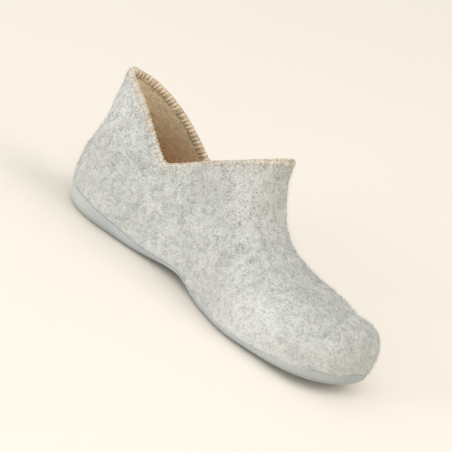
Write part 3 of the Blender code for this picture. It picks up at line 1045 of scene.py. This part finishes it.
def wrapping():
    """Surface that the yarn lies on: up the felt, over the collar's edge and down the lining.

    Rows step square to the edge: point - step * (normal x along). Returned are places, normals, the way of
    each row from the top of the edge, and the way of each column round the collar.
    """
    row_step = np.linalg.norm(OUTSIDE[-1] - OUTSIDE[-2], axis=1).mean()
    band, facing = [OUTSIDE[-1]], [NORMAL[-1]]
    for i in range(1, BAND_STEPS):
        along = unit(through(band[-1]))
        band.append(band[-1] - BAND_STEP * unit(np.cross(facing[-1], along)))
        facing.append(NORMAL[-1 - min(int(i * BAND_STEP / row_step), FELT_ROWS - 2)])
    band, facing = np.array(band), np.array(facing)
    up = unit(np.cross(facing[0], unit(through(band[0]))))
    round_normal = np.array([np.cos(a) * facing[0] + np.sin(a) * up for a in ARC_ANGLES])
    over = band[0] - WALL / 2 * facing[0] + WALL / 2 * round_normal
    places = np.concatenate([band[::-1], over, band - WALL * facing])
    normals = np.concatenate([facing[::-1], round_normal, -facing])
    outer_way = -HALF_ARC - BAND_STEP * np.arange(BAND_STEPS)[::-1]
    ways = np.concatenate([outer_way, HALF_ARC * (2 * ARC_ANGLES / np.pi - 1), -outer_way[::-1]])
    rim = over[len(over) // 2]
    return places, normals, ways, run_along(np.concatenate([rim, rim[:1]]))


WRAP, WRAP_NORMAL, WRAP_WAY, COLLAR_WAY = wrapping()
COLLAR_LENGTH = COLLAR_WAY[-1]


def on_wrap(around, over, lift):
    """Points at a way round the collar and a way over its edge, lifted off the surface."""
    column = np.interp(around % COLLAR_LENGTH, COLLAR_WAY, np.arange(COLUMNS + 1))
    row = np.interp(over, WRAP_WAY, np.arange(len(WRAP_WAY)))
    normal = unit(on_grid(WRAP_NORMAL, row, column))
    return on_grid(WRAP, row, column) + np.asarray(lift)[..., None] * normal


def tubes(paths, radius, sides, closed=False):
    """Tubes along paths of one length: round sections with the waist of twisted plies.

    Section radius = radius * (1 + waist * cos(plies * (angle - twist * way))). Returned are points and faces.
    """
    count, steps = paths.shape[:2]
    along = unit(through(paths, 1) if closed else np.gradient(paths, axis=1))
    across = unit(np.cross(along, unit(paths - paths.mean(axis=(0, 1)))))
    lift = np.cross(along, across)
    way = run_along(paths.swapaxes(0, 1)).T[..., None]
    angle = np.arange(sides) * 2 * np.pi / sides
    size = radius * (1 + PLY_WAIST * np.cos(PLIES * (angle - PLY_TWIST * way)))
    if not closed:
        ends = np.sin(np.pi * np.clip(np.arange(steps) / 1.5, 0, 0.5)) * 0.75 + 0.25
        size = size * np.minimum(ends, ends[::-1])[:, None]
    circle = np.cos(angle)[:, None] * across[:, :, None] + np.sin(angle)[:, None] * lift[:, :, None]
    points = paths[:, :, None] + size[..., None] * circle
    first = (np.arange(count) * steps * sides)[:, None]
    faces = (first[..., None] + ring_quads(steps, sides, closed)).reshape(-1, 4).tolist()
    if not closed:
        start = first + np.arange(sides)
        faces += start[:, ::-1].tolist() + (start + (steps - 1) * sides).tolist()
    return points.reshape(-1, 3), faces


def joined(parts):
    """Several sets of points, faces and tones as one."""
    points, faces, tones, first = [], [], [], 0
    for some_points, some_faces, tone in parts:
        points.append(some_points)
        faces += [[corner + first for corner in face] for face in some_faces]
        tones.append(np.broadcast_to(tone, len(some_points)))
        first += len(some_points)
    return np.concatenate(points), faces, np.concatenate(tones)


def yarn_bed(start, end):
    """Felted yarn under the bars: a thin closed band over the rim, grey outside and, inside, a darker tan
    that is painted shade in the gaps between the bars.
    """
    over = np.linspace(start, end, BED_ROWS)
    inside = eased(over, start, 0.4 * end)
    tone = 1 - 2 * inside
    lift = BED_LIFT * (0.2 + 0.8 * inside) * (1 - np.linspace(1, -1, BED_ROWS) ** 8)
    lift = np.concatenate([lift, np.full(BED_ROWS, -BED_SINK)])
    over = np.concatenate([over, over[::-1]])
    rows = on_wrap(COLLAR_WAY[None, :-1], over[:, None], lift[:, None])
    tone = np.repeat(np.concatenate([tone, tone[::-1]]), COLUMNS)
    return rows.reshape(-1, 3), wall_faces(len(rows), True), tone


def collar_yarn():
    """The overlocked edge: slanting bars over the rim, stitches at their feet and felted yarn under them.

    A bar moves on by the slant while it goes over, and dips into the cloth at its ends. Outside it is sunk
    in the felt and grey. The tone is 1 for grey, 0 for cream and -1 for a darker tan, painted shade in the
    gaps between the bars inside.
    """
    random = np.random.default_rng(31)
    stitches = int(round(COLLAR_LENGTH / STITCH_PITCH))
    pitch = COLLAR_LENGTH / stitches
    start = np.arange(stitches)[:, None] * pitch + random.normal(0, 0.00028, (stitches, 1))
    share = np.linspace(0, 1, BAR_STEPS)[None]
    outer_end = HALF_ARC + STITCH_OUTSIDE + random.normal(0, 0.00030, (stitches, 1))
    inner_end = HALF_ARC + STITCH_DEPTH + random.normal(0, 0.00025, (stitches, 1))
    over = -outer_end + (outer_end + inner_end) * share
    dip = 1 - (2 * share - 1) ** 12
    sway = random.normal(0, 0.00015, (stitches, 1)) * np.sin(np.pi * share)
    around = start + STITCH_SLANT * (share - 0.5) + sway
    outer = 1 - eased(over, -0.8 * HALF_ARC, 0.6 * HALF_ARC)
    lift = YARN_RADIUS * (1.5 * dip - 0.9 - 1.05 * outer)
    bars = tubes(on_wrap(around, over, lift), YARN_RADIUS, YARN_SIDES)
    parts = [(*bars, np.repeat(outer.ravel(), YARN_SIDES))]
    share = np.linspace(0, 1, FOOT_STEPS)[None]
    bow = np.sin(np.pi * share)
    # The inner feet carry tone -0.7, a darker tan that is painted shade in the gaps between the bars
    for end, reach, sink, tone in ((-1, outer_end, 1.4, 0.3), (1, inner_end, 0.6, -0.7)):
        around = start + STITCH_SLANT * end / 2 + pitch * (0.08 + 0.84 * share)
        over = end * (reach - 0.0002) + 0.00012 * bow
        feet = on_wrap(around, over, THREAD_RADIUS * (1.5 * bow - sink))
        parts.append((*tubes(feet, THREAD_RADIUS, THREAD_SIDES), tone))
    parts.append(yarn_bed(-1.2 * HALF_ARC, HALF_ARC + STITCH_DEPTH - 0.0003))
    chain = np.arange(stitches * CHAIN_STEPS)[None] * pitch / CHAIN_STEPS
    for phase in (0.0, np.pi):
        angle = 2 * np.pi * chain / pitch + phase
        height = THREAD_RADIUS * (0.6 + 0.6 * np.cos(angle))
        path = on_wrap(chain, CHAIN_SWING * np.sin(angle) - 0.0002, height)
        parts.append((*tubes(path, THREAD_RADIUS, THREAD_SIDES, closed=True), CHAIN_TONE))
    return joined(parts)


# Loose fibres


# Corners of one fibre's faces: its two steps, its point and its foot
SPIKE = ((0, 1, 4, 3), (1, 2, 5, 4), (2, 0, 3, 5), (3, 4, 6), (4, 5, 6), (5, 3, 6), (2, 1, 0))
ROOT_DEPTH = 0.0001


def strands(rows, count, seed, length, rise, radius, facing=1.0):
    """Short fibres on a wall, each a three-sided spike of two steps that leaves it in a soft curve.

    Its point at share t is root + along * length * t + normal * rise * t**1.6 + across * curl * t**2.
    """
    random = np.random.default_rng(seed)
    right = np.roll(rows, -1, axis=1) - rows
    upward = rows[1:] - rows[:-1]
    area = np.linalg.norm(np.cross(right[:-1], upward), axis=2).ravel()
    cell = np.searchsorted(np.cumsum(area) / area.sum(), random.random(count))
    cell = np.minimum(cell, len(area) - 1)
    i, j = cell // COLUMNS, cell % COLUMNS
    u, v = random.random((2, count, 1))
    right, upward = right[i, j], upward[i, j]
    normal = facing * unit(np.cross(right, upward))
    root = rows[i, j] + u * right + v * upward - ROOT_DEPTH * normal
    angle = random.uniform(0, 2 * np.pi, (count, 1))
    along = np.cos(angle) * unit(right) + np.sin(angle) * np.cross(normal, unit(right))
    across = np.cross(normal, along)
    size = length * random.uniform(0.5, 1.3, (count, 1))
    stand = rise * random.exponential(1.0, (count, 1)).clip(0, 2.5)
    curl = size * random.normal(0, 0.35, (count, 1))
    rings = []
    for share, thick in ((0.0, 1.0), (0.5, 0.8), (1.0, 0.0)):
        centre = root + size * share * along + stand * share**1.6 * normal + curl * share**2 * across
        centre[:, 2] = np.maximum(centre[:, 2], 3 * radius)
        for third in range(3 if thick else 1):
            turn = 2 * np.pi * third / 3
            rings.append(centre + thick * radius * (np.cos(turn) * across + np.sin(turn) * normal))
    points = np.stack(rings, axis=1)
    first = np.arange(count)[:, None] * points.shape[1]
    faces = []
    for face in SPIKE:
        faces += (first + np.array(face)).tolist()
    return points.reshape(-1, 3), faces, np.repeat(random.random(count), points.shape[1])


def fibre_material(name, dark, pale, share_dark):
    """Loose fibres, each with its own tone."""
    fibre = Finish(name, Roughness=0.8, Sheen_Weight=0.2)
    return fibre.wear(fibre.mix(fibre.ramp(fibre.tone(), share_dark - 0.05, share_dark + 0.15), dark, pale))


def toned_piece(name, parts, material):
    """A piece made of fibres or yarn, with the tone of each as an attribute."""
    points, faces, tone = parts
    piece = make_piece(name, points, faces, material)
    attribute = piece.data.attributes.new("tone", "FLOAT", "POINT")
    attribute.data.foreach_set("value", tone.astype(np.float32))
    return piece


# Fibres of a piece: number, seed, length, rise and radius; then the name, the dark and the pale colour of
# their material and the share of dark ones
FELT_FIBRES = ((19000, 41, 0.0038, 0.0008, 0.00005), ("loose_wool", DARK_WOOL, PALE_HAIR, 0.30))
COLLAR_FUZZ = ((4000, 44, 0.0020, 0.0008, 0.00005), ("edge_fuzz", YARN_TAUPE, EDGE_HAIR, 0.20))
FELT_FUZZ = ((14000, 43, 0.0018, 0.0020, 0.00006), ("wool_fuzz", LIGHT_WOOL, PALE_HAIR, 0.30))
FLEECE_FIBRES = ((9000, 42, 0.0024, 0.0009, 0.00006, -1.0), ("loose_pile", FLEECE_DARK, FLEECE_PALE_AND_PAINTED_LIGHT, 0.40))
FLEECE_FIBRES_FROM = 20


def build_slipper():
    """All pieces of the slipper; the lowest rows of the lining carry no fibres."""
    felt_face, felt = felt_layer()
    fleece_face, fleece = fleece_layer()
    sole, insole = sole_layer(), insole_layer()
    make_piece("felt_upper", felt, wall_faces(len(felt), True), felt_material(), "upper")
    make_piece("fleece_lining", fleece, wall_faces(len(fleece), True), fleece_material())
    toned_piece("collar_yarn", collar_yarn(), yarn_material())
    make_piece("rubber_sole", sole, capped_faces(sole, False), rubber_material(), "outsole")
    make_piece("textile_insole", insole, capped_faces(insole, True), textile_material(), "insole")
    for name, wall, (sizes, look), slot in (
        ("felt_fibres", felt_face, FELT_FIBRES, "felt"),
        ("collar_fuzz", WRAP, COLLAR_FUZZ, "yarn"),
        ("felt_fuzz", felt_face, FELT_FUZZ, "felt"),
        ("fleece_fibres", fleece_face[FLEECE_FIBRES_FROM:], FLEECE_FIBRES, "lining"),
    ):
        toned_piece(name, strands(wall, *sizes), fibre_material(*look))


# Camera, floor and light

CAMERA_AZIMUTH = np.radians(30.084)
CAMERA_ELEVATION = np.radians(19.307)
CAMERA_ROLL = np.radians(25.37)
CAMERA_DISTANCE = 1.700
CAMERA_PIVOT = Vector((-0.0084, -0.0017, 0.050))
SENSOR = 36.0
IMAGE_PIXELS = 452
PHOTO_FOCAL_PIXELS = 1900.6
ZOOM = 1.38
AIM_RIGHT = -0.0025
AIM_UP = -0.0045
FLOOR_SIZE = 6.0
FLOOR_CLOUDS = 0.4
SKY = (1.0, 0.985, 0.955, 1.0)
SKY_STRENGTH = 0.70

# Lamps: the way to the right, up and forwards in the picture, then size, power and colour
LAMPS = {
    "key_light": (-3.30, 1.05, 3.90, 2.10, 117.0, (1.0, 1.0, 1.0)),
    "front_light": (0.40, 1.40, 3.00, 2.00, 20.0, (1.0, 1.0, 1.0)),
    "side_light": (3.10, 1.10, 1.40, 2.40, 38.0, (1.0, 0.93, 0.82)),
}


def camera_axes():
    """Directions of the picture's right, of its top and from the slipper to the camera."""
    sin_a, cos_a = np.sin(CAMERA_AZIMUTH), np.cos(CAMERA_AZIMUTH)
    sin_e, cos_e = np.sin(CAMERA_ELEVATION), np.cos(CAMERA_ELEVATION)
    towards = np.array([sin_a * cos_e, -cos_a * cos_e, sin_e])
    right = np.array([cos_a, sin_a, 0.0])
    up = np.cross(towards, right)
    sin_r, cos_r = np.sin(CAMERA_ROLL), np.cos(CAMERA_ROLL)
    return Vector(cos_r * right + sin_r * up), Vector(cos_r * up - sin_r * right), Vector(towards)


RIGHT, UP, TOWARDS = camera_axes()


def stand(name, data, place, aim):
    """Stands a camera or lamp at a place, looking at its aim and turned like the picture."""
    towards = (place - aim).normalized()
    right = (RIGHT - RIGHT.dot(towards) * towards).normalized()
    turn = Matrix((right, towards.cross(right), towards)).transposed().to_4x4()
    thing = bpy.data.objects.new(name, data)
    bpy.context.scene.collection.objects.link(thing)
    thing.matrix_world = Matrix.Translation(place) @ turn
    return thing


def place_camera():
    """A camera at the height and angle that the slipper is seen from, rolled and framed on it."""
    lens = bpy.data.cameras.new("camera")
    lens.sensor_width = SENSOR
    lens.lens = PHOTO_FOCAL_PIXELS * ZOOM * SENSOR / IMAGE_PIXELS
    lens.clip_start = 0.05
    aim = CAMERA_PIVOT + AIM_RIGHT * RIGHT + AIM_UP * UP
    bpy.context.scene.camera = stand("camera", lens, CAMERA_PIVOT + CAMERA_DISTANCE * TOWARDS, aim)


def soft_light(name, rightwards, upwards, forwards, size, power, colour):
    """A square lamp that shines on the slipper, placed by the picture's directions."""
    lamp = bpy.data.lights.new(name, "AREA")
    lamp.shape = "SQUARE"
    lamp.size = size
    lamp.energy = power
    lamp.color = colour
    place = CAMERA_PIVOT + rightwards * RIGHT + upwards * UP + forwards * TOWARDS
    stand(name, lamp, place, CAMERA_PIVOT)


def light_scene():
    """A pale floor under soft light from the left, the front and, weaker, the right."""
    bpy.ops.mesh.primitive_plane_add(size=FLOOR_SIZE)
    floor = bpy.context.object
    floor.name = "floor"
    ground = Finish("floor", Roughness=0.8)
    floor.data.materials.append(ground.wear(ground.mix(ground.noise(FLOOR_CLOUDS), FLOOR_CREAM, FLOOR_PALE)))
    for name, setting in LAMPS.items():
        soft_light(name, *setting)
    world = bpy.data.worlds.new("studio")
    world.use_nodes = True
    background = world.node_tree.nodes["Background"].inputs
    background["Color"].default_value = SKY
    background["Strength"].default_value = SKY_STRENGTH
    bpy.context.scene.world = world
    bpy.context.scene.view_settings.view_transform = "Standard"


build_slipper()
place_camera()
light_scene()
